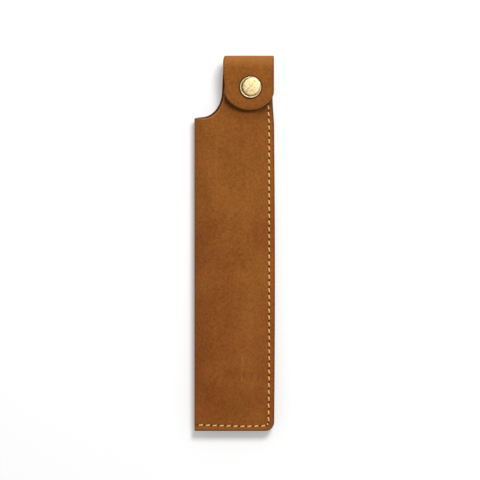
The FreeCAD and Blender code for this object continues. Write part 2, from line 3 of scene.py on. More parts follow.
import bpy
import numpy as np
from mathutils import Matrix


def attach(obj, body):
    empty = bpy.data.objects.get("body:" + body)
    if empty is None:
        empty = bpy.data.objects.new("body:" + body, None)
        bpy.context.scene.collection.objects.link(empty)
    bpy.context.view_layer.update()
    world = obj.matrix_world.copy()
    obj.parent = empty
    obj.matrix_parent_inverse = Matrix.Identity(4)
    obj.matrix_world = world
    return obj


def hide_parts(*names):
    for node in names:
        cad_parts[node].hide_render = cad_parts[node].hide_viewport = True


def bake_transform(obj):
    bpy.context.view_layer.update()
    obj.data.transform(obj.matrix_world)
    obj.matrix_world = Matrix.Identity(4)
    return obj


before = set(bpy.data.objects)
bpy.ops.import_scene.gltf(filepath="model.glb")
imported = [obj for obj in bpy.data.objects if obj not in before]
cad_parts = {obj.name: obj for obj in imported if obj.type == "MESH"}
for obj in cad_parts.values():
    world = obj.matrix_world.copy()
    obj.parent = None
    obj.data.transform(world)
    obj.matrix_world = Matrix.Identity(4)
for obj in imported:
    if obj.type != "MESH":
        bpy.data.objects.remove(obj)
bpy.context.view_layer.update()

milli = 0.001
tiny = 1e-9
leather = {  # mm from the fold, from the bottom edge and from the table, and degrees
    "width": 35.0,
    "length": 165.0,
    "thick": 1.6,
    "rim": 0.34,  # how far the rounded edge stands out
    "rimSteps": 8,
    "sharpAngle": 62.0,
}


# Shared shapes

def smoothStep(low, high, x):
    t = np.clip((x - low) / (high - low), 0, 1)
    return t * t * (3 - 2 * t)


def toRow(points):
    # from mm at the sleeve's corner to metres in the part's frame
    return (points - np.array([leather["width"] / 2, leather["length"] / 2, 0])) * milli


def makePiece(name, points, faces, materials, kinds=None, marks=None):
    # points in mm, faces as lists of indices, kinds is the material of each face, marks are values per point
    mesh = bpy.data.meshes.new(name)
    placed = toRow(points)
    mesh.from_pydata(placed.tolist(), [], faces)
    for material in materials:
        mesh.materials.append(material)
    if kinds is not None:
        mesh.polygons.foreach_set("material_index", np.asarray(kinds, dtype=np.int32))
    mesh.polygons.foreach_set("use_smooth", np.ones(len(faces), dtype=bool))
    for label, values in (marks or {}).items():
        layer = mesh.attributes.new(label, "FLOAT", "POINT")
        layer.data.foreach_set("value", np.asarray(values, dtype=np.float32))
    # patterns follow the leather as it bends
    rest = mesh.attributes.new("restPlace", "FLOAT_VECTOR", "POINT")
    rest.data.foreach_set("vector", placed.astype(np.float32).ravel())
    mesh.update(calc_edges=True)
    mesh.set_sharp_from_angle(angle=math.radians(leather["sharpAngle"]))
    piece = bpy.data.objects.new(name, mesh)
    bpy.context.scene.collection.objects.link(piece)
    return piece


def gridFaces(index):
    # quads of a grid of point numbers, each going along the columns and then up the rows
    corners = (index[:-1, :-1], index[:-1, 1:], index[1:, 1:], index[1:, :-1])
    return np.stack([corner.ravel() for corner in corners], axis=1)


def leatherShell(outer, inner, bulge, marks):
    # Two grids a thickness apart, closed by a half ellipse carried round their border:
    # middle + half thickness * cos + bulge * sin along the outward direction
    rows, cols = outer.shape[:2]
    count = rows * cols
    index = np.arange(count).reshape(rows, cols)
    ring = np.concatenate([index[0, :-1], index[:-1, -1], index[-1, :0:-1], index[:0:-1, 0]])
    high = outer.reshape(-1, 3)
    low = inner.reshape(-1, 3)
    middle = (high[ring] + low[ring]) / 2
    half = (high[ring] - low[ring]) / 2
    reach = (np.broadcast_to(bulge, (rows, cols)).reshape(-1)[ring])[:, None]
    ahead = np.where(np.roll(reach, -1, axis=0) > 0, np.roll(middle, -1, axis=0), middle)
    behind = np.where(np.roll(reach, 1, axis=0) > 0, np.roll(middle, 1, axis=0), middle)
    out = np.cross(ahead - behind, half)  # a rounded edge runs straight on into a plain border
    out /= np.maximum(np.linalg.norm(out, axis=1, keepdims=True), tiny)
    turns = np.linspace(0, math.pi, leather["rimSteps"] + 1)[1:-1, None, None]
    rim = middle + half * np.cos(turns) + out * reach * np.sin(turns)
    points = np.concatenate([high, low, rim.reshape(-1, 3)])
    inside = 2 * count + np.arange(rim.shape[0] * len(ring)).reshape(rim.shape[0], -1)
    layers = np.concatenate([ring[None], inside, ring[None] + count])
    layers = np.concatenate([layers, layers[:, :1]], axis=1)
    rimFaces = gridFaces(layers)[:, ::-1]
    face = gridFaces(index)
    faces = np.concatenate([face, face[:, ::-1] + count, rimFaces])
    kinds = np.repeat([0, 2, 1], [len(face), len(face), len(rimFaces)])  # outside, inside and edge

    def carried(values):
        flat = np.broadcast_to(values, (rows, cols)).reshape(-1)
        return np.concatenate([flat, flat, np.tile(flat[ring], rim.shape[0])])

    return points, faces.tolist(), kinds, {label: carried(values) for label, values in marks.items()}


# Node helpers

def put(tree, kind, feeds=None, **settings):
    node = tree.nodes.new(kind)
    for key, setting in settings.items():
        setattr(node, key, setting)
    for socket, feed in (feeds or {}).items():
        if isinstance(feed, bpy.types.NodeSocket):
            tree.links.new(feed, node.inputs[socket])
        else:
            node.inputs[socket].default_value = feed
    return node


def sums(tree, operation, first, second=0.0, third=0.0):
    return put(tree, "ShaderNodeMath", {0: first, 1: second, 2: third}, operation=operation).outputs[0]


def ease(tree, low, high, value, start=0.0, end=1.0):
    feeds = {"Value": value, "From Min": low, "From Max": high, "To Min": start, "To Max": end}
    return put(tree, "ShaderNodeMapRange", feeds, interpolation_type="SMOOTHSTEP").outputs[0]


def tint(tree, share, first, second, blend="MIX"):
    # sockets 6 and 7 and output 2 are the mix node's colours
    feeds = {0: share, 6: first, 7: second}
    return put(tree, "ShaderNodeMix", feeds, data_type="RGBA", blend_type=blend).outputs[2]


def mark(tree, name, output="Fac"):
    return put(tree, "ShaderNodeAttribute", attribute_name=name).outputs[output]


def noise(tree, place, scale, detail=3.0, rough=0.55):
    feeds = {"Vector": place, "Scale": scale, "Detail": detail, "Roughness": rough}
    return put(tree, "ShaderNodeTexNoise", feeds).outputs[0]


def swing(tree, value, reach):
    # a noise, which lies round a half, as a value round zero
    return sums(tree, "MULTIPLY_ADD", value, reach, -reach / 2)


def stretched(tree, place, scale):
    return put(tree, "ShaderNodeMapping", {"Vector": place, "Scale": scale}).outputs[0]


def newGroup(name, inputs, outputs):
    # every group takes a place and its own values, and gives masks or values
    group = bpy.data.node_groups.new(name, "ShaderNodeTree")
    group.interface.new_socket(name="Place", in_out="INPUT", socket_type="NodeSocketVector")
    for label, start in inputs.items():
        socket = group.interface.new_socket(name=label, in_out="INPUT", socket_type="NodeSocketFloat")
        socket.default_value = start
    for label in outputs:
        group.interface.new_socket(name=label, in_out="OUTPUT", socket_type="NodeSocketFloat")
    return group, group.nodes.new("NodeGroupInput").outputs, group.nodes.new("NodeGroupOutput").inputs


def useGroup(tree, group, **feeds):
    return put(tree, "ShaderNodeGroup", feeds, node_tree=group).outputs


def newMaterial(name):
    material = bpy.data.materials.new(name)
    material.use_nodes = True
    material.node_tree.nodes.clear()
    return material, material.node_tree


def finishMaterial(tree, look, height, feeds):
    # bump from the height, then the shader
    lift = {"Strength": look["bump"], "Distance": look["depth"], "Height": height}
    normal = put(tree, "ShaderNodeBump", lift).outputs[0]
    shader = put(tree, "ShaderNodeBsdfPrincipled", {**feeds, "Normal": normal})
    put(tree, "ShaderNodeOutputMaterial", {"Surface": shader.outputs[0]})


# Effects that several finishes share

napPlan = {  # patterns per metre, their weights, and the spans from none to all
    "fibre": 2500.0, "speck": 900.0, "cloud": 75.0, "pulled": 520.0, "patch": 60.0, "hue": 45.0,
    "fibreTone": 0.85, "speckTone": 1.1, "cloudTone": 0.5, "fibreHeight": 0.6, "speckHeight": 0.4,
    "pull": (1.0, 0.16, 1.0),  # scuffs are drawn out along the length
    "scuffSpan": (0.56, 0.78), "patchSpan": (0.42, 0.66), "hueSpan": (0.32, 0.62),
}


def makeNap():
    # brushed nap: broad clouds, specks and short fibres as a tone round zero, with a height, pale scuffs
    # and a hue from ruddy to golden that also turns along the length
    p = napPlan
    inputs = {"Fineness": 1.0, "Turn": 0.0}
    group, given, found = newGroup("brushedNap", inputs, ("Tone", "Height", "Scuff", "Hue"))
    feeds = {0: given["Place"], 3: given["Fineness"]}
    place = put(group, "ShaderNodeVectorMath", feeds, operation="SCALE").outputs[0]
    fibre = noise(group, place, p["fibre"], detail=2.0)
    speck = noise(group, place, p["speck"], detail=4.0, rough=0.65)
    cloud = noise(group, place, p["cloud"])
    tone = sums(group, "ADD", swing(group, fibre, p["fibreTone"]), swing(group, speck, p["speckTone"]))
    tone = sums(group, "ADD", tone, swing(group, cloud, p["cloudTone"]))
    group.links.new(tone, found["Tone"])
    height = sums(group, "MULTIPLY", speck, p["speckHeight"])
    height = sums(group, "MULTIPLY_ADD", fibre, p["fibreHeight"], height)
    group.links.new(height, found["Height"])
    pulled = noise(group, stretched(group, place, p["pull"]), p["pulled"])
    patch = noise(group, place, p["patch"], detail=2.0)
    scuff = sums(group, "MULTIPLY", ease(group, *p["scuffSpan"], pulled), ease(group, *p["patchSpan"], patch))
    group.links.new(scuff, found["Scuff"])
    axes = put(group, "ShaderNodeSeparateXYZ", {0: given["Place"]}).outputs
    hue = sums(group, "MULTIPLY_ADD", axes[1], given["Turn"], noise(group, place, p["hue"], detail=4.0))
    group.links.new(ease(group, *p["hueSpan"], hue), found["Hue"])
    return group


def makeHandled():
    # edges darkened by handling: one at the edge, broken up in patches, none past the width
    inputs = {"Distance": 5.0, "Width": 1.0, "Breakup": 0.4, "Patches": 420.0}
    group, given, found = newGroup("handledEdge", inputs, ("Mask",))
    patch = swing(group, noise(group, given["Place"], given["Patches"]), 2.0)
    reach = sums(group, "MULTIPLY_ADD", patch, given["Breakup"], given["Distance"])
    group.links.new(ease(group, 0.0, given["Width"], reach, 1.0, 0.0), found["Mask"])
    return group


awlPlan = {"ragged": 1500.0, "fray": 0.2, "holeSpan": (0.2, 0.46), "bandSpan": (0.3, 1.5)}  # per metre, mm


def makeAwl():
    # a row of holes: distance to the nearest multiple of the pitch along the seam,
    # and the pressed band beside it
    p = awlPlan
    inputs = {"Along": 0.0, "Across": 0.0, "Pitch": 3.0}
    group, given, found = newGroup("awlHoles", inputs, ("Hole", "Band"))
    turn = sums(group, "DIVIDE", given["Along"], given["Pitch"])
    part = sums(group, "SUBTRACT", turn, sums(group, "ROUND", turn))
    off = sums(group, "MULTIPLY", part, given["Pitch"])
    square = sums(group, "MULTIPLY", given["Across"], given["Across"])
    away = sums(group, "SQRT", sums(group, "MULTIPLY_ADD", off, off, square))
    ragged = swing(group, noise(group, given["Place"], p["ragged"]), p["fray"])
    near = sums(group, "ADD", away, ragged)
    group.links.new(ease(group, *p["holeSpan"], near, 1.0, 0.0), found["Hole"])
    side = sums(group, "ADD", sums(group, "ABSOLUTE", given["Across"]), ragged)
    group.links.new(ease(group, *p["bandSpan"], side, 1.0, 0.0), found["Band"])
    return group


tarnishPlan = {"cloudSpan": (0.38, 0.74), "pull": (1.0, 0.08, 1.0), "scratchDull": 0.22, "scratchHeight": 0.3}


def makeTarnish():
    # thin clouds of tarnish and fine handling scratches
    p = tarnishPlan
    inputs = {"Clouds": 260.0, "Scratches": 3200.0}
    group, given, found = newGroup("handledMetal", inputs, ("Dull", "Height"))
    cloud = noise(group, given["Place"], given["Clouds"], detail=4.0, rough=0.6)
    scratch = noise(group, stretched(group, given["Place"], p["pull"]), given["Scratches"], detail=2.0)
    dull = sums(group, "MULTIPLY_ADD", scratch, p["scratchDull"], ease(group, *p["cloudSpan"], cloud))
    group.links.new(dull, found["Dull"])
    group.links.new(sums(group, "MULTIPLY_ADD", scratch, p["scratchHeight"], cloud), found["Height"])
    return group


brushedNap = makeNap()
handledEdge = makeHandled()
awlHoles = makeAwl()
handledMetal = makeTarnish()

# Finishes

leatherTones = {
    "light": (0.335, 0.109, 0.0195, 1.0),
    "dark": (0.205, 0.062, 0.0095, 1.0),
    "ruddy": (0.93, 0.853, 0.92, 1.0),  # factors of the hide's hue
    "golden": (1.015, 1.05, 1.0, 1.0),
    "scuffed": (0.43, 0.175, 0.05, 1.0),
    "stretched": (0.47, 0.19, 0.05, 1.0),
    "handled": (0.105, 0.032, 0.0065, 1.0),
    # painted shadow of the flap on the leather below it
    "flapShadow": (0.105, 0.032, 0.0065, 1.0),
    "band": (0.17, 0.064, 0.0095, 1.0),
    # painted shade inside the stitch holes
    "hole": (0.03, 0.0095, 0.0025, 1.0),
    # painted contact shadow round the snap cap
    "capShadow": (0.05, 0.018, 0.0045, 1.0),
    "burnished": (0.15, 0.044, 0.0095, 1.0),
    # pale colour of a raw cut edge, also used as painted light where an edge faces the lamp
    "rawAndLitCut": (0.55, 0.235, 0.1, 1.0),
    "flesh": (0.23, 0.088, 0.028, 1.0),
    "fleshDark": (0.115, 0.04, 0.012, 1.0),
    "sheen": (1.0, 0.72, 0.46, 1.0),
}
seamPlan = {  # mm from the fold and the bottom edge
    "side": 32.62, "sideTop": 155.8, "sideEnd": 3.7, "sideCount": 51,
    "base": 2.3, "baseStart": 31.8, "baseEnd": 1.3, "baseCount": 10,
    "leg": 0.42, "beyond": 1.0, "grooveWidth": 0.55,
    "drift": 0.25, "driftEnd": 32.0,  # the side line drifts out, and is drawn in again below the flap
    "draw": 0.5, "drawStart": 132.0, "drawEnd": 148.0,
    "lift": 0.34, "liftEnd": 13.0,  # the bottom line lifts at the fold and sags before the corner
    "sag": 0.3, "sagStart": 11.0, "sagDeep": 23.0,
}
snapPlan = {"x": 24.7, "y": 151.0, "radius": 4.7, "base": 14.1, "shadeStart": 0.1, "shadeEnd": 0.85}  # mm


def sideLine(y):
    p = seamPlan
    out = p["drift"] * smoothStep(p["sideEnd"], p["driftEnd"], y)
    return p["side"] + out - p["draw"] * smoothStep(p["drawStart"], p["drawEnd"], y)


def baseLine(x):
    p = seamPlan
    lift = p["lift"] * (1 - smoothStep(p["baseEnd"], p["liftEnd"], x))
    sag = smoothStep(p["sagStart"], p["sagDeep"], x) * (1 - smoothStep(p["sagDeep"], p["baseStart"], x))
    return p["base"] + lift - p["sag"] * sag


def seamMasks(tree, place):
    # holes and pressed band of both seam lines, which wander as sideLine and baseLine say
    p = seamPlan
    axes = put(tree, "ShaderNodeSeparateXYZ", {0: place}).outputs
    across = sums(tree, "MULTIPLY_ADD", axes[0], 1 / milli, leather["width"] / 2)
    along = sums(tree, "MULTIPLY_ADD", axes[1], 1 / milli, leather["length"] / 2)
    drift = ease(tree, p["sideEnd"], p["driftEnd"], along, p["side"], p["side"] + p["drift"])
    line = sums(tree, "ADD", drift, ease(tree, p["drawStart"], p["drawEnd"], along, 0.0, -p["draw"]))
    side = useGroup(tree, awlHoles, Place=place, Along=sums(tree, "SUBTRACT", along, p["sideTop"]),
                    Across=sums(tree, "SUBTRACT", across, line),
                    Pitch=(p["sideTop"] - p["sideEnd"]) / p["sideCount"])
    sag = sums(tree, "MULTIPLY", ease(tree, p["sagStart"], p["sagDeep"], across, 0.0, -p["sag"]),
               ease(tree, p["sagDeep"], p["baseStart"], across, 1.0, 0.0))
    lift = ease(tree, p["baseEnd"], p["liftEnd"], across, p["base"] + p["lift"], p["base"])
    base = useGroup(tree, awlHoles, Place=place, Along=sums(tree, "SUBTRACT", across, p["baseStart"]),
                    Across=sums(tree, "SUBTRACT", along, sums(tree, "ADD", sag, lift)),
                    Pitch=(p["baseStart"] - p["baseEnd"]) / p["baseCount"])
    onSide = sums(tree, "GREATER_THAN", along, p["sideEnd"] - p["beyond"])
    onBase = sums(tree, "LESS_THAN", across, p["baseStart"] + p["beyond"])
    hole = sums(tree, "MAXIMUM", sums(tree, "MULTIPLY", side["Hole"], onSide),
                sums(tree, "MULTIPLY", base["Hole"], onBase))
    return hole, sums(tree, "MAXIMUM", side["Band"], base["Band"])


def capShade(tree, place):
    # painted contact shadow: one under the cap's rim, fading out over the leather that it presses down
    p = snapPlan
    snap = toRow(np.array([p["x"], p["y"], 0.0]))
    off = put(tree, "ShaderNodeVectorMath", {0: place, 1: tuple(snap)}, operation="SUBTRACT").outputs[0]
    feeds = {0: off, 1: (1 / milli, 1 / milli, 0.0)}
    flat = put(tree, "ShaderNodeVectorMath", feeds, operation="MULTIPLY").outputs[0]
    near = put(tree, "ShaderNodeVectorMath", {0: flat}, operation="LENGTH").outputs["Value"]
    return ease(tree, p["radius"] + p["shadeStart"], p["radius"] + p["shadeEnd"], near, 1.0, 0.0)


def napShade(tree, nap, look):
    # the nap's tone as a share from dark to light, and as a roughness
    shade = ease(tree, -look["contrast"], look["contrast"], nap["Tone"])
    return shade, ease(tree, *toneSpan, nap["Tone"], *look["rough"])


toneSpan = (-0.5, 0.5)
nubuckLook = {  # how strong each tone is, then edge and holes in mm, bump depth in metres
    "scuffed": 0.36, "stretched": 0.55, "handled": 0.4, "flapShadow": 0.5, "band": 0.18, "capShadow": 0.95,
    "contrast": 0.36, "turn": 2.2, "edgeWidth": 0.8, "edgeBreakup": 0.3, "holeDepth": 1.6,
    "bump": 0.36, "depth": 0.00022, "rough": (0.94, 0.78), "specular": 0.1, "sheen": 0.07, "sheenRough": 0.5,
}


def nubuck(name, sewn):
    # the brushed outer face; the sewn one has its seams' holes with painted shade in them, the band and the
    # painted shadow of the flap, the strap's the painted contact shadow of the cap
    material, tree = newMaterial(name)
    tones = leatherTones
    look = nubuckLook
    place = mark(tree, "restPlace", "Vector")
    nap = useGroup(tree, brushedNap, Place=place, Turn=look["turn"])

    def laid(colour, mask, label):
        return tint(tree, sums(tree, "MULTIPLY", mask, look[label]), colour, tones[label])

    shade, rough = napShade(tree, nap, look)
    colour = tint(tree, shade, tones["dark"], tones["light"])
    hue = tint(tree, nap["Hue"], tones["ruddy"], tones["golden"])
    colour = tint(tree, 1.0, colour, hue, "MULTIPLY")
    colour = laid(colour, nap["Scuff"], "scuffed")
    colour = laid(colour, mark(tree, "stretch"), "stretched")
    worn = useGroup(tree, handledEdge, Place=place, Distance=mark(tree, "fromEdge"),
                    Width=look["edgeWidth"], Breakup=look["edgeBreakup"])
    colour = laid(colour, worn["Mask"], "handled")
    height = nap["Height"]
    if sewn:
        hole, band = seamMasks(tree, place)
        # painted shadow: the leather below the flap is darkened where the flap shades it
        colour = laid(colour, mark(tree, "flapShadow"), "flapShadow")
        colour = laid(colour, band, "band")
        # painted shade: the stitch holes are coloured near black, as the shade inside them
        colour = tint(tree, hole, colour, tones["hole"])
        height = sums(tree, "MULTIPLY_ADD", hole, -look["holeDepth"], height)
    else:
        # painted contact shadow in a ring round the cap
        colour = laid(colour, capShade(tree, place), "capShadow")
    finishMaterial(tree, look, height, {
        "Base Color": colour, "Roughness": rough, "Specular IOR Level": look["specular"],
        "Sheen Weight": look["sheen"], "Sheen Roughness": look["sheenRough"], "Sheen Tint": tones["sheen"]})
    return material


edgeLook = {
    "fineness": 1.5, "contrast": 0.4, "bump": 0.3, "depth": 0.00015, "rough": (0.8, 0.6), "specular": 0.02,
}


def cutEdge():
    # the leather's cut edge: pale and open where it is raw, dark and smooth where it is burnished; the raw
    # share also paints light and shade, high where the edge faces the lamp, low where it lies in shade
    material, tree = newMaterial("cutEdge")
    tones = leatherTones
    look = edgeLook
    nap = useGroup(tree, brushedNap, Place=mark(tree, "restPlace", "Vector"), Fineness=look["fineness"])
    shade, rough = napShade(tree, nap, look)
    burnished = tint(tree, shade, tones["handled"], tones["burnished"])
    rawAndLit = tint(tree, shade, tones["light"], tones["rawAndLitCut"])
    colour = tint(tree, mark(tree, "rawAndLit"), burnished, rawAndLit)
    finishMaterial(tree, look, nap["Height"], {
        "Base Color": colour, "Roughness": rough, "Specular IOR Level": look["specular"]})
    return material


fleshLook = {
    "fineness": 0.62, "contrast": 0.42, "bump": 0.6, "depth": 0.0003, "rough": (0.98, 0.88), "specular": 0.02,
    "sheen": 0.05,
}


def fleshSide():
    # the unfinished inner face, dyed dark, with longer fibres
    material, tree = newMaterial("fleshSide")
    tones = leatherTones
    look = fleshLook
    nap = useGroup(tree, brushedNap, Place=mark(tree, "restPlace", "Vector"), Fineness=look["fineness"])
    shade, rough = napShade(tree, nap, look)
    colour = tint(tree, shade, tones["fleshDark"], tones["flesh"])
    finishMaterial(tree, look, nap["Height"], {
        "Base Color": colour, "Roughness": rough, "Specular IOR Level": look["specular"],
        "Sheen Weight": look["sheen"], "Sheen Tint": tones["sheen"]})
    return material


threadLook = {
    "pale": (1.0, 0.61, 0.24, 1.0), "groove": (0.72, 0.35, 0.11, 1.0), "plySpan": (0.0, 0.7), "fuzz": 0.3,
    "fineness": 1.4, "bump": 0.3, "depth": 0.0001, "rough": (0.75, 0.55), "specular": 0.2,
}


def waxedThread():
    # plies lighter on their crowns and darker in the grooves between them, the darkening being painted shade
    material, tree = newMaterial("waxedThread")
    look = threadLook
    nap = useGroup(tree, brushedNap, Place=mark(tree, "restPlace", "Vector"), Fineness=look["fineness"])
    shade = sums(tree, "MULTIPLY_ADD", nap["Tone"], look["fuzz"], mark(tree, "ply"))
    # painted shade: the grooves between the plies take the darker colour
    colour = tint(tree, ease(tree, *look["plySpan"], shade), look["groove"], look["pale"])
    rough = ease(tree, 0.0, 1.0, shade, *look["rough"])
    finishMaterial(tree, look, nap["Height"], {
        "Base Color": colour, "Roughness": rough, "Specular IOR Level": look["specular"]})
    return material


metalLook = {
    "brass": (0.71, 0.565, 0.32, 1.0), "brassDull": (0.31, 0.23, 0.1, 1.0), "brassRough": (0.2, 0.36),
    "steel": (0.6, 0.6, 0.61, 1.0), "steelDull": (0.36, 0.36, 0.37, 1.0), "steelRough": (0.25, 0.42),
    "dulled": 0.45, "bump": 0.06, "depth": 0.00005,
}


def wornMetal(tree, wear, kind, look, spread):
    # bright metal going dull where it is worn, and its roughness
    dulled = sums(tree, "MULTIPLY", wear["Dull"], look["dulled"])
    colour = tint(tree, dulled, metalLook[kind], metalLook[kind + "Dull"])
    return colour, ease(tree, 0.0, 1.0, wear["Dull"], *spread)


def metal(name, kind):
    material, tree = newMaterial(name)
    look = metalLook
    wear = useGroup(tree, handledMetal, Place=put(tree, "ShaderNodeTexCoord").outputs["Object"])
    colour, rough = wornMetal(tree, wear, kind, look, look[kind + "Rough"])
    finishMaterial(tree, look, wear["Height"], {"Base Color": colour, "Metallic": 1.0, "Roughness": rough})
    return material


plateLook = {
    "patinaAndShade": (0.12, 0.085, 0.012, 1.0), "clouds": 950.0, "scratches": 4200.0, "dulled": 0.95,
    "rough": (0.34, 0.5), "recessRough": 0.2, "bump": 0.1, "depth": 0.00012,
}


def stampedBrass():
    # the cap's plate: a mottled face with dark patina left in its groove, darkened further on one side as
    # painted shade
    material, tree = newMaterial("stampedBrass")
    look = plateLook
    wear = useGroup(tree, handledMetal, Place=mark(tree, "restPlace", "Vector"),
                    Clouds=look["clouds"], Scratches=look["scratches"])
    colour, rough = wornMetal(tree, wear, "brass", look, look["rough"])
    recess = mark(tree, "recess")
    colour = tint(tree, recess, colour, look["patinaAndShade"])
    rough = sums(tree, "MULTIPLY_ADD", recess, look["recessRough"], rough)
    finishMaterial(tree, look, wear["Height"], {"Base Color": colour, "Metallic": 1.0, "Roughness": rough})
    return material


sewnNubuck = nubuck("sewnNubuck", True)
strapNubuck = nubuck("strapNubuck", False)
edgeLeather = cutEdge()
fleshLeather = fleshSide()
thread = waxedThread()
capPlate = stampedBrass()
brass = metal("plateBrass", "brass")
steel = metal("drawnSteel", "steel")
print("finishes made")

# The folded sleeve

pocket = {  # mm, shares and numbers of rows
    "seam": 5.05, "margin": 1.65, "flat": 0.016, "marginStart": 31.6,
    "crownStart": 11.0, "crownEnd": 21.0, "neckCrownEnd": 28.4,
    "frontSwell": 4.0, "backSwell": 3.5, "neckGap": 2.4, "fold": 3.0,
    "riseStart": 3.4, "riseEnd": 22.0, "dropStart": 133.2, "dropEnd": 147.2,
    "corner": 4.0, "levelCrown": 18.0,
    "waist": 0.62, "waistStart": 133.0, "waistEnd": 147.5, "waistHold": 150.0, "waistRelease": 158.0,
    "belly": 0.44, "bellyStart": -8.0, "bellyEnd": 142.0,
    "groove": 0.12, "leastInside": 0.94,  # the inner face's least height, in thicknesses
    "wave": 0.11, "waveIn": (18.0, 40.0), "waveOut": (118.0, 134.0), "quietLeft": 6.0, "quietRight": 7.0,
    "longWave": (0.13, 0.2, 1.3), "crossWave": (0.047, -0.31, 0.4),
    "rows": 206, "bottomRows": 14, "bottomShare": 0.026, "rounds": 14,
    "rawAndLitFront": 1.0, "rawSewn": 0.12,
    "footPale": 0.4, "footLow": 1.5, "footHigh": 2.8,  # the margin below the bottom seam is paler
    "flapShadowX": 24.15, "flapShadowY": 153.24, "flapShadowNear": 11.6, "flapShadowFar": 20.0,  # painted shadow of the flap on the leather below it
}
mouth = {  # outline of the cut-away, mm
    "height": 137.7, "rise": 0.4, "flat": 3.0, "curve": 11.6, "neck": 12.18, "step": 0.8,
    "frontLeft": 14.2, "frontTop": 158.0, "strapLeft": 12.6, "backTop": 159.642, "near": 0.01,
    "beyond": 2.0, "curveSteps": 60, "straightSteps": 11,
}


def mouthLine(step, shoulder, level):
    # level stretch, quarter ellipse, leaning side and top, set in by the rim along its own normal
    turn = np.array([mouth["flat"] + step, mouth["height"] + mouth["rise"] - step])
    angle = np.linspace(0, math.pi / 2, mouth["curveSteps"])[:, None]
    axes = np.array([mouth["neck"] - mouth["flat"], mouth["curve"]])
    curve = turn + np.concatenate([axes[0] * np.sin(angle), axes[1] * (1 - np.cos(angle))], axis=1)
    start = np.array([[-mouth["beyond"], mouth["height"]], [0.0, mouth["height"]]])
    count = mouth["straightSteps"]
    lean = curve[-1] + (shoulder - curve[-1]) * np.linspace(0, 1, count + 1)[1:, None]
    right = np.linspace(shoulder[0], leather["width"] + mouth["beyond"], count + 1)[1:]
    across = np.stack([right, np.full(count, shoulder[1])], axis=1)
    line = np.concatenate([start, curve, lean, across])
    run = np.gradient(line, axis=0)
    inward = np.stack([run[:, 1], -run[:, 0]], axis=1) / np.linalg.norm(run, axis=1, keepdims=True)
    moved = line + inward * leather["rim"]
    if level:  # the strap goes on from here, so its top edge isn't rounded
        moved[-count - 1:, 1] = shoulder[1]
        moved[-count - 1, 0] = shoulder[0] + leather["rim"]
    return moved


mouthLines = {
    1: mouthLine(mouth["step"], np.array([mouth["frontLeft"], mouth["frontTop"]]), False),
    -1: mouthLine(0.0, np.array([mouth["strapLeft"], mouth["backTop"]]), True),
}


def topAt(sign, x):
    line = mouthLines[sign]
    return np.interp(x, line[:, 0], line[:, 1])


def bottomAt(x):
    # the bottom edge, with a round corner that ends where the sewn edge begins
    radius = pocket["corner"] - leather["rim"]
    over = np.clip(x - (rightEdge(pocket["corner"]) - radius), 0, radius)
    return pocket["corner"] - np.sqrt(radius ** 2 - over ** 2)


def swellAt(y):
    # heights of front and back over the seam, the fold's radius and the crown's end,
    # all eased along the length
    p = pocket
    rise = smoothStep(p["riseStart"], p["riseEnd"], y)
    drop = smoothStep(p["dropStart"], p["dropEnd"], y)
    flat = p["margin"] + p["flat"]
    front = flat + rise * (p["frontSwell"] - p["flat"]) + drop * (p["neckGap"] - p["frontSwell"])
    back = flat + (rise - drop) * (p["backSwell"] - p["flat"])
    fold = p["margin"] + (rise - drop) * (p["fold"] - p["margin"])
    return front, back, fold, p["crownEnd"] + drop * (p["neckCrownEnd"] - p["crownEnd"])


def rightEdge(y):
    # the sewn edge, swelling out in a half sine, drawn in at the neck, let out again to the strap
    p = pocket
    waist = smoothStep(p["waistStart"], p["waistEnd"], y)
    waist = waist * (1 - smoothStep(p["waistHold"], p["waistRelease"], y))
    along = np.clip((y - p["bellyStart"]) / (p["bellyEnd"] - p["bellyStart"]), 0, 1)
    return leather["width"] - leather["rim"] + p["belly"] * np.sin(math.pi * along) - p["waist"] * waist


sideSteps = {
    "fold": np.linspace(0, 1, 10),
    "wide": np.linspace(0, 1, 17)[1:],
    "level": np.linspace(0, 1, 44)[1:],
    "crown": np.linspace(0, 1, 9)[1:],
    "high": np.linspace(0, 1, 11)[1:],
    "low": np.linspace(0, 1, 9)[1:],
    "margin": np.linspace(0, 1, 13)[1:],
}
sideCuts = np.cumsum([len(steps) for steps in sideSteps.values()])[:-1]
# where each panel's side leans, so that more of the level stretch's columns stand there
leanSpan = {1: (13.2, 14.7), -1: (12.35, 13.05)}
levelShares = (0, 0.3, 0.84, 1)


def levelColumns(sign):
    low, high = leanSpan[sign]
    places = [pocket["crownStart"], low, high, pocket["levelCrown"]]
    return np.interp(sideSteps["level"], levelShares, places)


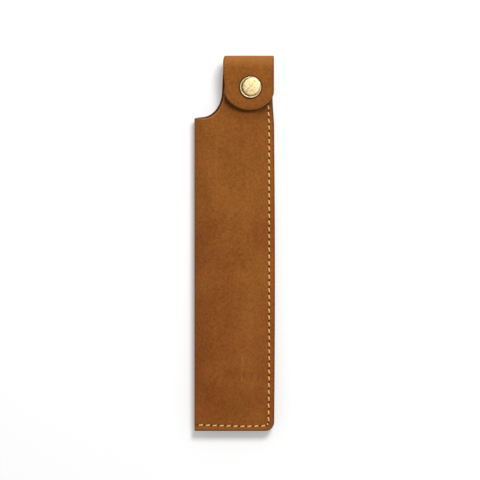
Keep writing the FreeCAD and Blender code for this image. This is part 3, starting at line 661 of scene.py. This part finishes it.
def sideSection(y, sign, inset):
    # Across one panel: the fold's arc, a wide arc, the level crown, two arcs of the step and the sewn margin
    p = pocket
    front, back, fold, crownEnd = swellAt(y)
    swell = front if sign > 0 else back
    high = swell - inset
    radius = fold - inset
    slope = 2 * np.arctan2(high - radius, p["crownStart"] - fold)
    wide = radius + (p["crownStart"] - fold) / np.sin(slope)
    run = p["marginStart"] - crownEnd
    rise = swell - p["margin"]
    both = (run ** 2 + rise ** 2) / (2 * rise)
    crest = both / 2 + leather["thick"] / 2 - inset
    hollow = both - crest
    turn = np.arctan2(run / both, 1 - rise / both)
    edge = rightEdge(y)

    def block(values, name):
        return np.split(values, sideCuts, axis=1)[list(sideSteps).index(name)]

    angle = math.pi / 2 + sideSteps["fold"] * (block(slope, "fold") - math.pi / 2)
    xs = [block(fold, "fold") - block(radius, "fold") * np.sin(angle)]
    hs = [block(radius, "fold") * np.cos(angle)]
    angle = block(slope, "wide") * (1 - sideSteps["wide"])
    xs.append(p["crownStart"] - block(wide, "wide") * np.sin(angle))
    hs.append(block(high, "wide") - block(wide, "wide") * (1 - np.cos(angle)))
    xs.append(np.broadcast_to(levelColumns(sign), block(high, "level").shape))
    hs.append(block(high, "level"))
    xs.append(p["levelCrown"] + sideSteps["crown"] * (block(crownEnd, "crown") - p["levelCrown"]))
    hs.append(block(high, "crown"))
    angle = block(turn, "high") * sideSteps["high"]
    xs.append(block(crownEnd, "high") + block(crest, "high") * np.sin(angle))
    hs.append(block(high, "high") - block(crest, "high") * (1 - np.cos(angle)))
    angle = block(turn, "low") * (1 - sideSteps["low"])
    xs.append(p["marginStart"] - block(hollow, "low") * np.sin(angle))
    hs.append(p["margin"] - inset + block(hollow, "low") * (1 - np.cos(angle)))
    angle = sideSteps["margin"] * math.pi / 2
    xs.append(p["marginStart"] + (block(edge, "margin") - p["marginStart"]) * np.sin(angle))
    hs.append(np.full(block(high, "margin").shape, p["margin"] - inset))
    return np.concatenate(xs, axis=1), np.concatenate(hs, axis=1)


def ripple(wave, x, y, shift):
    # sin of a plane over the panel
    return np.sin(wave[0] * y + wave[1] * x + wave[2] + shift)


def panel(sign, inset):
    # Rows run from the bottom edge to the mouth along each column: y = bottom + share * (top - bottom).
    # As x depends on y, both are found in rounds
    p = pocket
    low = np.linspace(0, p["bottomShare"], p["bottomRows"])
    rest = np.linspace(p["bottomShare"], 1, p["rows"] - p["bottomRows"] + 1)[1:]
    share = np.concatenate([low, rest])[:, None]
    count = sum(len(steps) for steps in sideSteps.values())
    own = np.ones(count)
    own[:len(sideSteps["fold"])] = 0.5 + 0.5 * smoothStep(0, 1, sideSteps["fold"])
    y = np.broadcast_to(share * mouth["height"], (p["rows"], count))
    for _ in range(p["rounds"]):
        x, h = sideSection(y, sign, inset)
        top = own * topAt(sign, x) + (1 - own) * topAt(-sign, x)
        bottom = bottomAt(x)
        y = bottom + share * (top - bottom)
    x, h = sideSection(y, sign, inset)
    quiet = np.clip((p["marginStart"] - x) / p["quietRight"], 0, 1) * np.clip(x / p["quietLeft"], 0, 1)
    quiet = quiet * smoothStep(*p["waveIn"], y) * (1 - smoothStep(*p["waveOut"], y))
    h = h + p["wave"] * quiet * ripple(p["longWave"], x, y, 0) * ripple(p["crossWave"], x, y, sign)
    if inset == 0:
        onSide = y > seamPlan["sideEnd"] - seamPlan["beyond"]
        onBase = x < seamPlan["baseStart"] + seamPlan["beyond"]
        line = np.exp(-((x - sideLine(y)) / seamPlan["grooveWidth"]) ** 2) * onSide
        foot = np.exp(-((y - baseLine(x)) / seamPlan["grooveWidth"]) ** 2) * onBase
        h = h - p["groove"] * np.maximum(line, foot)
    z = np.maximum(p["seam"] + sign * h, 0.0 if inset == 0 else leather["thick"] * p["leastInside"])
    away = np.minimum(rightEdge(y) - x, y - bottom)
    return np.stack([x, y, z], axis=2), away


def foldedSheet(inset):
    # back and front in one grid, joined along the fold
    front, frontAway = panel(1, inset)
    back, backAway = panel(-1, inset)
    points = np.concatenate([back[:, :0:-1], front], axis=1)
    return points, np.concatenate([backAway[:, :0:-1], frontAway], axis=1)


def makeSleeve():
    outer, away = foldedSheet(0)
    inner = foldedSheet(leather["thick"])[0]
    backCols = outer.shape[1] // 2
    rim = np.full(outer.shape[:2], leather["rim"])
    strapCols = np.count_nonzero(outer[-1, :backCols, 1] > mouth["backTop"] - mouth["near"])
    rim[-1, 1:strapCols - 1] = 0  # the strap goes on from here
    # painted light and shade on the cut edge: the front's mouth edge, which faces the lamp, is fully raw and
    # pale, and the back's mouth edge, in shade behind it, is burnished dark
    rawAndLit = np.full(outer.shape[:2], pocket["rawSewn"])
    rawAndLit[-1, backCols:] = pocket["rawAndLitFront"]
    rawAndLit[-1, :backCols] *= smoothStep(pocket["waistHold"], mouth["backTop"], outer[-1, :backCols, 1])
    # painted shadow of the flap: the front is darkened within a ring round a point under the flap, fading out
    # further away
    off = np.hypot(outer[..., 0] - pocket["flapShadowX"], outer[..., 1] - pocket["flapShadowY"])
    flapShadow = (1 - smoothStep(pocket["flapShadowNear"], pocket["flapShadowFar"], off)) * (outer[..., 2] > pocket["seam"])
    pale = pocket["footPale"] * (1 - smoothStep(pocket["footLow"], pocket["footHigh"], outer[..., 1]))
    marks = {"fromEdge": away, "stretch": pale, "rawAndLit": rawAndLit, "flapShadow": flapShadow}
    points, faces, kinds, marks = leatherShell(outer, inner, rim, marks)
    piece = makePiece("sleeveLeather", points, faces, [sewnNubuck, edgeLeather, fleshLeather], kinds, marks)
    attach(piece, "sleeve")
    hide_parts("sleeve_body")
    print("sleeve leather", outer.shape, "faces", len(faces))


makeSleeve()

# The strap over the top and the flap

strap = {  # mm, and degrees of each stretch of the bend
    "turn": 60,
    "left": 13.4, "right": 35.0, "start": 159.642, "centre": 8.742, "outside": 5.358,
    "straight": 10.1, "reach": 18.6, "shoulder": 6.5, "tip": 12.2,
    "lean": 0.8, "leanRun": 9.0, "leftRound": 0.85, "rightRound": 0.12,
    "cols": 64, "bendRows": 31, "flatRows": 70, "blendReach": 1.84, "facet": 0.22, "thin": 0.15,
    "crestPower": 6, "bowStart": 12.0, "bow": 1.25, "curl": 0.22, "curlStart": 2.0, "curlEnd": 10.0,
    "press": 0.14, "pressOut": 0.15, "pressWidth": 0.5, "rawAndLit": 0.6, "stretchStart": -1.5,
}


def strapColumns():
    half = (strap["right"] - strap["left"]) / 2
    middle = (strap["right"] + strap["left"]) / 2
    return middle, half, (half - leather["rim"]) * np.sin(np.linspace(1, -1, strap["cols"]) * math.pi / 2)


def leaned(lean, crest):
    # columns at each row: the left side stands out by the lean, and both sides draw in over the crest
    middle, half, off = strapColumns()
    leftShare = (half - leather["rim"] - off) / (2 * (half - leather["rim"]))
    out = (lean - strap["leftRound"] * crest) * leftShare
    return middle + off - out - strap["rightRound"] * crest * (1 - leftShare)


def bendGrid(first, last, inset):
    # An arc about the bend's line: y = start + r * sin, z = centre - r * cos. It is flatter between the
    # hinge lines and thinner at them, by the square of sin(3 * angle), so that it lies flatter when it opens.
    # Its outer face is drawn in over the crest, by the sixth power of sin(angle)
    angle = np.radians(np.linspace(first, last, strap["bendRows"]))[:, None]
    atHinge = np.sin(180 / strap["turn"] * angle) ** 2
    between = (angle > math.radians(strap["turn"] / 2)) & (angle < math.radians(180 - strap["turn"] / 2))
    radius = strap["outside"] - inset - strap["facet"] * (1 - atHinge) * between
    crest = np.sin(angle) ** strap["crestPower"]
    if inset > 0:
        radius = radius + strap["thin"] * atHinge
        crest = 0 * crest
    x = leaned(strap["lean"], crest)
    y = np.broadcast_to(strap["start"] + radius * np.sin(angle), x.shape)
    z = np.broadcast_to(strap["centre"] - radius * np.cos(angle), x.shape)
    return np.stack([x, y, z], axis=2)


def flapEnd(off, half):
    # how far the flap goes at each place across: two shoulder arcs tangent to the arc of the tip
    rim = leather["rim"]
    tipCentre = strap["reach"] - strap["tip"]
    side = half - strap["shoulder"]
    slope = side / (strap["tip"] - strap["shoulder"])
    across = np.abs(off)
    tip = tipCentre + np.sqrt(np.maximum((strap["tip"] - rim) ** 2 - across ** 2, 0))
    past = np.maximum(across - side, 0)
    shoulder = strap["straight"] + np.sqrt(np.maximum((strap["shoulder"] - rim) ** 2 - past ** 2, 0))
    return np.where(across < (strap["tip"] - rim) * slope, tip, shoulder)


def flapGrid(inset):
    # the last arc of the bend, then the flat flap, bowed down to its tip by a square, its sides curled by
    # a fourth power, pressed in a ring round the cap
    bend = bendGrid(2 * strap["turn"], 3 * strap["turn"], inset)
    half, off = strapColumns()[1:]
    share = np.linspace(0, 1, strap["flatRows"] + 1)[1:, None]
    run = share * flapEnd(off, half)
    x = leaned(strap["lean"] * (1 - smoothStep(0, strap["leanRun"], run)), 0.0)
    y = strap["start"] - run
    drop = strap["bow"] * np.maximum((run - strap["bowStart"]) / (strap["reach"] - strap["bowStart"]), 0) ** 2
    drop = drop + strap["curl"] * smoothStep(strap["curlStart"], strap["curlEnd"], run) * (off / half) ** 4
    z = strap["centre"] + strap["outside"] - inset - drop
    if inset == 0:
        near = np.hypot(x - snapPlan["x"], y - snapPlan["y"]) - snapPlan["radius"] - strap["pressOut"]
        z = z - strap["press"] * np.exp(-(near / strap["pressWidth"]) ** 2)
    return np.concatenate([bend, np.stack([x, y, z], axis=2)])


def strapPiece(name, outer, inner, openRows, node):
    # one stretch of the strap, flat where the next stretch goes on
    rim = np.full(outer.shape[:2], leather["rim"])
    rim[openRows, 1:-1] = 0
    side = np.minimum(outer[..., 0] - outer[:, -1:, 0], outer[:, :1, 0] - outer[..., 0])
    onFlap = (outer[..., 2] > strap["centre"]) & (outer[..., 1] < strap["start"])
    away = np.where(onFlap, np.minimum(side, outer[..., 1] - outer[-1, :, 1]), side)
    past = outer[..., 1] - strap["start"]
    stretch = smoothStep(strap["stretchStart"], strap["outside"], past)
    turned = np.arctan2(np.maximum(past, 0), strap["centre"] - outer[..., 2])
    # painted light: the cut edge grows paler as the strap turns over the top and onto the flap, where it
    # faces the lamp
    rawAndLit = pocket["rawSewn"] + (strap["rawAndLit"] - pocket["rawSewn"]) * smoothStep(0, math.pi, turned)
    marks = {"fromEdge": away, "stretch": stretch, "rawAndLit": rawAndLit}
    points, faces, kinds, marks = leatherShell(outer, inner, rim, marks)
    piece = makePiece(name, points, faces, [strapNubuck, edgeLeather, fleshLeather], kinds, marks)
    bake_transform(piece)
    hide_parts(node)


thick = leather["thick"]
turn = strap["turn"]
strapPiece("bendLower", bendGrid(0, turn, 0), bendGrid(0, turn, thick), [0, -1],
           "flap_fold_lower")
strapPiece("bendUpper", bendGrid(turn, 2 * turn, 0), bendGrid(turn, 2 * turn, thick), [0, -1],
           "flap_fold_upper")
strapPiece("flapLeather", flapGrid(0), flapGrid(thick), [0], "flap")
print("strap and flap made")

# The two threads

stitch = {  # mm, shares of the radius, and numbers
    "radius": 0.34, "rise": 0.17, "dive": 0.62, "diveEase": 3, "slant": 0.2, "overlap": 0.05,
    "plies": 3, "turns": 1.6, "plyDepth": 0.14, "plyMean": 0.4, "taper": 0.36, "flatten": 0.9,
    "rings": 8, "around": 9,
}


def seamHoles():
    p = seamPlan
    side = np.linspace(p["sideTop"], p["sideEnd"], p["sideCount"] + 1)
    base = np.linspace(p["baseStart"], p["baseEnd"], p["baseCount"] + 1)
    sideHoles = np.stack([sideLine(side), side], axis=1)
    return np.concatenate([sideHoles, np.stack([base, baseLine(base)], axis=1)])


def stitchTubes(sign):
    # Each stitch is a tube from hole to hole: its line rises from one hole and dives into the next,
    # and its radius swells with cos(plies * angle - twist) so that the plies wind round it
    s = stitch
    holes = seamHoles()
    start, end = holes[:-1], holes[1:]
    along = (end - start) / np.linalg.norm(end - start, axis=1, keepdims=True)
    side = np.stack([-along[:, 1], along[:, 0]], axis=1)
    first = start + along * (seamPlan["leg"] - s["overlap"]) - side * s["slant"]
    last = end - along * (seamPlan["leg"] - s["overlap"]) + side * s["slant"]
    t = np.linspace(0, 1, s["rings"])
    bend = np.abs(2 * t - 1) ** s["diveEase"]
    flat = first[:, None] + (last - first)[:, None] * t[None, :, None]
    level = pocket["margin"] - pocket["groove"] + s["rise"] - s["dive"] * bend
    height = np.broadcast_to(pocket["seam"] + sign * level, flat.shape[:2])
    line = np.concatenate([flat, height[..., None]], axis=2)
    ahead = np.concatenate([last - first, np.zeros((len(first), 1))], axis=1)
    ahead /= np.linalg.norm(ahead, axis=1, keepdims=True)
    up = np.array([0.0, 0.0, float(sign)])
    across = np.cross(up, ahead)
    angle = np.arange(s["around"]) * 2 * math.pi / s["around"]
    ply = np.cos(s["plies"] * angle[None, :] - 2 * math.pi * s["turns"] * t[:, None])
    radius = s["radius"] * (1 + s["plyDepth"] * (ply - s["plyMean"])) * (1 - s["taper"] * bend[:, None])
    ring = (across[:, None, None] * (radius * np.cos(angle))[None, ..., None]
            + up * (radius * np.sin(angle) * s["flatten"])[None, ..., None])
    points = (line[:, :, None] + ring).reshape(-1, 3)
    marks = np.broadcast_to(0.5 + 0.5 * ply, (len(first),) + ply.shape).ravel()
    index = np.arange(s["rings"] * s["around"]).reshape(s["rings"], -1)
    face = gridFaces(np.concatenate([index, index[:, :1]], axis=1))
    shift = (np.arange(len(first)) * index.size)[:, None, None]
    faces = (face + shift).reshape(-1, 4).tolist()
    ends = np.stack([index[0, ::-1], index[-1]])
    return points, faces + (ends + shift).reshape(-1, s["around"]).tolist(), marks


for label, sign, node in (("needleStitches", 1, "needle_thread"), ("bobbinStitches", -1, "bobbin_thread")):
    tubePoints, tubeFaces, plyMarks = stitchTubes(sign)
    stitches = makePiece(label, tubePoints, tubeFaces, [thread], None, {"ply": plyMarks})
    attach(stitches, "sleeve")
    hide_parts(node)
    print(label, "faces", len(tubeFaces))

# The snap

cap = {  # mm from the flap's face, degrees, shares and numbers
    "disc": 3.6, "discTop": 1.6, "dome": 0.1, "flank": 0.4, "groove": 0.86,
    "bead": 0.33, "beadRise": 0.34, "curl": 0.28, "shift": 0.6, "shiftTurn": 38.0,
    "around": 84, "discSteps": 10, "beadSteps": 12, "curlSteps": 7,
    "patinaSpan": (0.1, 0.7), "beadPatina": 0.5,
    # painted shade: the groove's patina is darker on the side that faces away from the lamp
    "shadeTurn": 208.0, "shadeLeast": 0.12, "shadeSpan": (-0.35, 0.9),
}


def capProfile():
    # from the middle outwards: a low dome, a falling flank, the groove, the half round bead and the curled
    # skirt; each point has its radius, height, share of patina and painted shade, and share of the disc's
    # shift
    c = cap
    outside = snapPlan["radius"]
    t = np.linspace(0, 1, c["discSteps"] + 1)[1:]
    disc = np.stack([c["disc"] * t, c["discTop"] - c["dome"] * t ** 2, 0 * t, 1 + 0 * t], axis=1)
    edge = c["discTop"] - c["dome"]
    fade = smoothStep(0, 1, t)
    fall = edge - (edge - c["groove"]) * fade
    patinaAndShade = smoothStep(*c["patinaSpan"], t)
    flank = np.stack([c["disc"] + c["flank"] * t, fall, patinaAndShade, 1 - fade], axis=1)
    turns = np.linspace(math.pi, 0, c["beadSteps"] + 1)[1:]
    low = np.where(turns > math.pi / 2, 1 - smoothStep(0.0, c["beadPatina"], np.sin(turns)), 0)
    across = outside - c["bead"] + c["bead"] * np.cos(turns)
    bead = np.stack([across, c["groove"] + c["beadRise"] * np.sin(turns), low, 0 * turns], axis=1)
    turns = np.linspace(0, math.pi / 2, c["curlSteps"])
    across = outside - c["curl"] + c["curl"] * np.cos(turns)
    skirt = np.stack([across, c["curl"] - c["curl"] * np.sin(turns), 0 * turns, 0 * turns], axis=1)
    return np.concatenate([disc, flank, bead, skirt])


def makeCap():
    # the profile turned about the snap's axis, with the middle disc struck a little to one side
    radius, height, recess, shifted = capProfile().T
    angle = np.arange(cap["around"]) * 2 * math.pi / cap["around"]
    aside = math.radians(cap["shiftTurn"])
    shift = cap["shift"] * np.array([math.cos(aside), math.sin(aside)])
    x = snapPlan["x"] + shift[0] * shifted + radius * np.cos(angle)[:, None]
    y = snapPlan["y"] + shift[1] * shifted + radius * np.sin(angle)[:, None]
    z = np.broadcast_to(snapPlan["base"] + height, x.shape)
    # painted shade: the groove's patina grows darker towards the lower left, away from the lamp, keeping only
    # its least share on the other side
    shadedSide = smoothStep(*cap["shadeSpan"], np.cos(angle - math.radians(cap["shadeTurn"])))[:, None]
    dark = recess * (cap["shadeLeast"] + (1 - cap["shadeLeast"]) * shadedSide)
    crown = [snapPlan["x"] + shift[0], snapPlan["y"] + shift[1], snapPlan["base"] + cap["discTop"]]
    under = [snapPlan["x"], snapPlan["y"], snapPlan["base"]]
    points = np.concatenate([np.stack([x, y, z], axis=2).reshape(-1, 3), [crown, under]])
    index = np.arange(x.size).reshape(x.shape)
    index = np.concatenate([index, index[:1]])
    topFan = np.stack([np.full(cap["around"], x.size), index[:-1, 0], index[1:, 0]], axis=1)
    lowFan = np.stack([np.full(cap["around"], x.size + 1), index[1:, -1], index[:-1, -1]], axis=1)
    faces = gridFaces(index).tolist() + topFan.tolist() + lowFan.tolist()
    marks = {"recess": np.append(dark.ravel(), [0.0, 0.0])}
    piece = makePiece("snapCap", points, faces, [capPlate], None, marks)
    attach(piece, "flap")
    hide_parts("snap_cap")
    print("snap cap faces", len(faces))


makeCap()
for node, finish in (("cap_rivet", brass), ("snap_socket", brass), ("snap_stud", brass), ("snap_post", brass),
                     ("snap_spring", steel)):
    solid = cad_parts[node]
    solid.data.materials.clear()
    solid.data.materials.append(finish)

# Floor, light and camera

studio = {  # metres and watts, the camera's lens and sensor in mm
    "floor": 3.0, "floorColour": (0.9, 0.9, 0.9, 1.0), "floorLift": 0.2, "white": (1.0, 1.0, 1.0, 1.0),
    "world": 0.42, "keyPlace": (0.22, 0.47, 0.87), "keySize": 0.32, "keyPower": 6.7,
    "lens": 400.0, "sensor": 36.0, "view": 0.21125, "aim": (0.00255, 0.0015), "plane": 0.005,
}


def lightPathWhite(tree):
    # one where the camera, a reflection or a clear surface looks, so that they see white
    path = put(tree, "ShaderNodeLightPath").outputs
    seen = sums(tree, "MAXIMUM", path["Is Camera Ray"], path["Is Glossy Ray"])
    return sums(tree, "MAXIMUM", seen, path["Is Transmission Ray"])


def makeFloor():
    material, tree = newMaterial("paleFloor")
    plain = put(tree, "ShaderNodeBsdfDiffuse", {"Color": studio["floorColour"]})
    lift = sums(tree, "MULTIPLY", lightPathWhite(tree), studio["floorLift"])
    glow = put(tree, "ShaderNodeEmission", {"Color": studio["white"], "Strength": lift})
    both = put(tree, "ShaderNodeAddShader", {0: plain.outputs[0], 1: glow.outputs[0]})
    put(tree, "ShaderNodeOutputMaterial", {"Surface": both.outputs[0]})
    mesh = bpy.data.meshes.new("floor")
    half = studio["floor"] / 2
    corners = [(-half, -half, 0), (half, -half, 0), (half, half, 0), (-half, half, 0)]
    mesh.from_pydata(corners, [], [(0, 1, 2, 3)])
    mesh.materials.append(material)
    floor = bpy.data.objects.new("floor", mesh)
    bpy.context.scene.collection.objects.link(floor)


def makeLight():
    world = bpy.data.worlds.new("studio")
    bpy.context.scene.world = world
    world.use_nodes = True
    tree = world.node_tree
    tree.nodes.clear()
    strength = sums(tree, "MULTIPLY_ADD", lightPathWhite(tree), 1.0 - studio["world"], studio["world"])
    sky = put(tree, "ShaderNodeBackground", {"Color": studio["white"], "Strength": strength})
    put(tree, "ShaderNodeOutputWorld", {"Surface": sky.outputs[0]})
    lamp = bpy.data.lights.new("key", "AREA")
    lamp.size = studio["keySize"]
    lamp.energy = studio["keyPower"]
    key = bpy.data.objects.new("key", lamp)
    key.location = studio["keyPlace"]
    key.rotation_euler = (-key.location).to_track_quat("-Z", "Y").to_euler()
    bpy.context.scene.collection.objects.link(key)


def makeCamera():
    lens = bpy.data.cameras.new("camera")
    lens.lens = studio["lens"]
    lens.sensor_width = studio["sensor"]
    camera = bpy.data.objects.new("camera", lens)
    away = studio["view"] * studio["lens"] / studio["sensor"]
    camera.location = (*studio["aim"], studio["plane"] + away)
    bpy.context.scene.collection.objects.link(camera)
    bpy.context.scene.camera = camera


makeFloor()
makeLight()
makeCamera()
bpy.context.scene.view_settings.view_transform = "Standard"
print("studio made")

bpy.context.view_layer.update()
